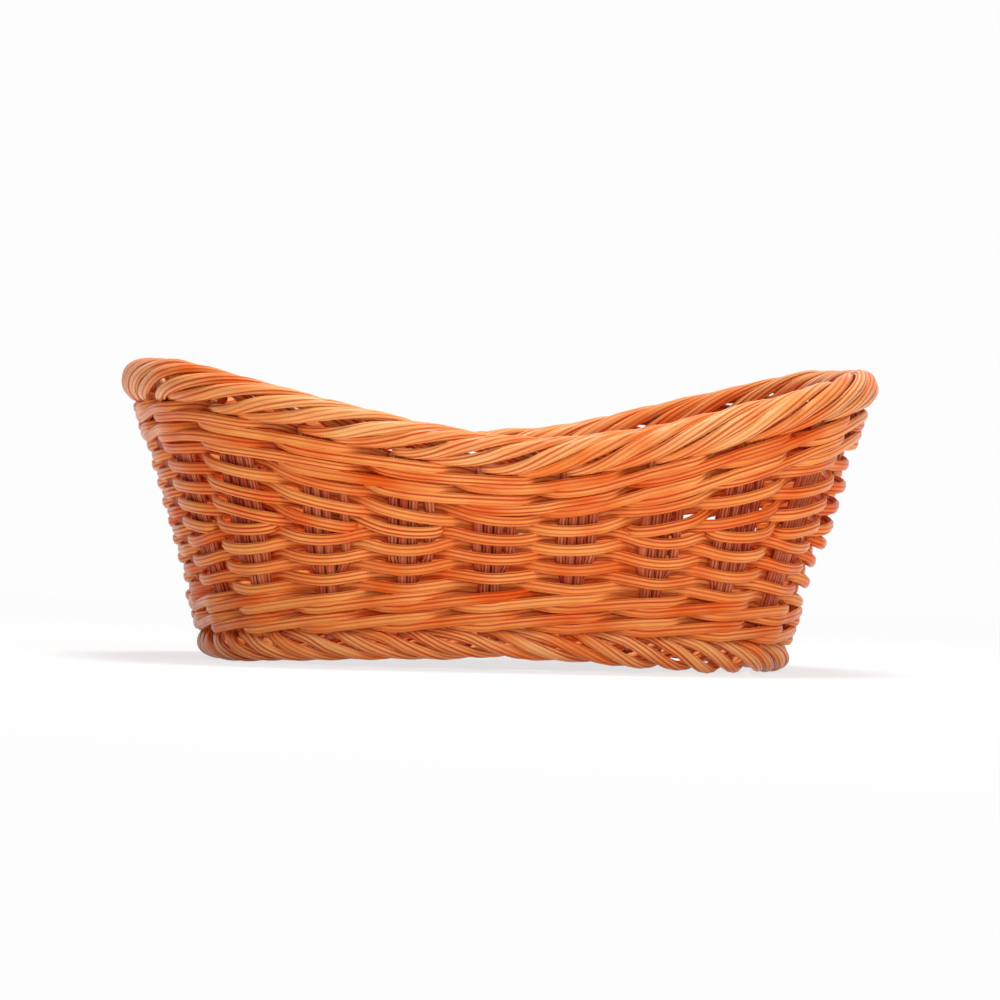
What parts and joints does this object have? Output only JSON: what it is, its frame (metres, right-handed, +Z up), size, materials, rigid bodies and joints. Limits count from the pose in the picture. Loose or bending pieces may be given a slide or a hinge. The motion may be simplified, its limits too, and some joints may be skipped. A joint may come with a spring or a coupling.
{
  "type": "woven bread basket",
  "caption": "Oblong open basket woven from ribbed plastic cane, with flared sides, raised ends, a rolled rope-like rim and a rolled foot.",
  "frame": {"origin": "on the surface it stands on, under the middle of the basket's box", "axes": "+Z up through the mouth, X along the long side between the two raised ends, -Y towards the front of the picture"},
  "size_m": [0.2822, 0.2122, 0.1137],
  "materials": {
    "stake": "satin, ribbed lengthwise",
    "weaver": "satin, ribbed lengthwise",
    "base": "satin, ribbed lengthwise"
  },
  "bodies": {
    "root": {"stake_01": "stake", "stake_02": "stake", "stake_03": "stake", "stake_04": "stake", "stake_05": "stake", "stake_06": "stake", "stake_07": "stake", "stake_08": "stake", "stake_09": "stake", "stake_10": "stake", "stake_11": "stake", "stake_12": "stake", "stake_13": "stake", "stake_14": "stake", "stake_15": "stake", "stake_16": "stake", "stake_17": "stake", "stake_18": "stake", "stake_19": "stake", "stake_20": "stake", "stake_21": "stake", "stake_22": "stake", "lower_wale_a_1": "weaver", "lower_wale_a_2": "weaver", "lower_wale_b_1": "weaver", "lower_wale_b_2": "weaver", "lower_wale_c_1": "weaver", "lower_wale_c_2": "weaver", "upper_wale_a_1": "weaver", "upper_wale_a_2": "weaver", "upper_wale_b_1": "weaver", "upper_wale_b_2": "weaver", "upper_wale_c_1": "weaver", "upper_wale_c_2": "weaver", "plain_row_1": "weaver", "plain_row_2": "weaver", "plain_row_3": "weaver", "plain_row_4": "weaver", "plain_row_5": "weaver", "plain_row_6": "weaver", "plain_row_7": "weaver", "plain_row_8": "weaver", "end_packing_right": "weaver", "end_packing_left": "weaver", "base_stick_1": "base", "base_stick_2": "base", "base_stick_3": "base", "base_stick_4": "base", "base_stick_5": "base", "base_stick_6": "base", "base_weaver_01": "base", "base_weaver_02": "base", "base_weaver_03": "base", "base_weaver_04": "base", "base_weaver_05": "base", "base_weaver_06": "base", "base_weaver_07": "base", "base_weaver_08": "base", "base_weaver_09": "base", "base_weaver_10": "base"}
  },
  "joints": []
}
